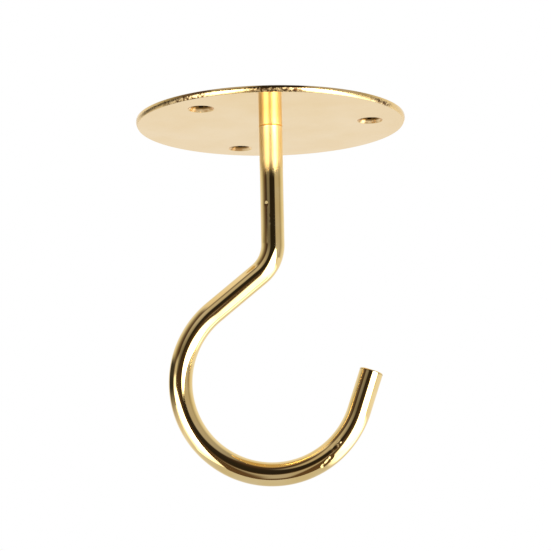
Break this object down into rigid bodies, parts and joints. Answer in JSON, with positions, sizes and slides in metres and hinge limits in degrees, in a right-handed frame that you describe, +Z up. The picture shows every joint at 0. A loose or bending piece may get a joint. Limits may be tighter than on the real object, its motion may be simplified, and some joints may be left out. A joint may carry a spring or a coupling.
{
  "type": "ceiling hook",
  "caption": "Polished gold ceiling hook: a round plate with countersunk screw holes carries a bent round rod that ends in an open bowl, for hanging a basket or lamp.",
  "frame": {"origin": "centre of the plate's upper face, which lies against the ceiling, on the axis of the straight stem", "axes": "+Z up into the ceiling, along the stem; +X towards the hook's free end; the rod is bent in the XZ plane"},
  "size_m": [0.069, 0.069, 0.0931],
  "materials": {
    "plate_plating": "polished brass plating on steel sheet",
    "rod_plating": "polished brass plating on steel bar"
  },
  "bodies": {
    "root": {"ceiling_plate": "plate_plating", "hook_rod": "rod_plating"}
  },
  "joints": []
}
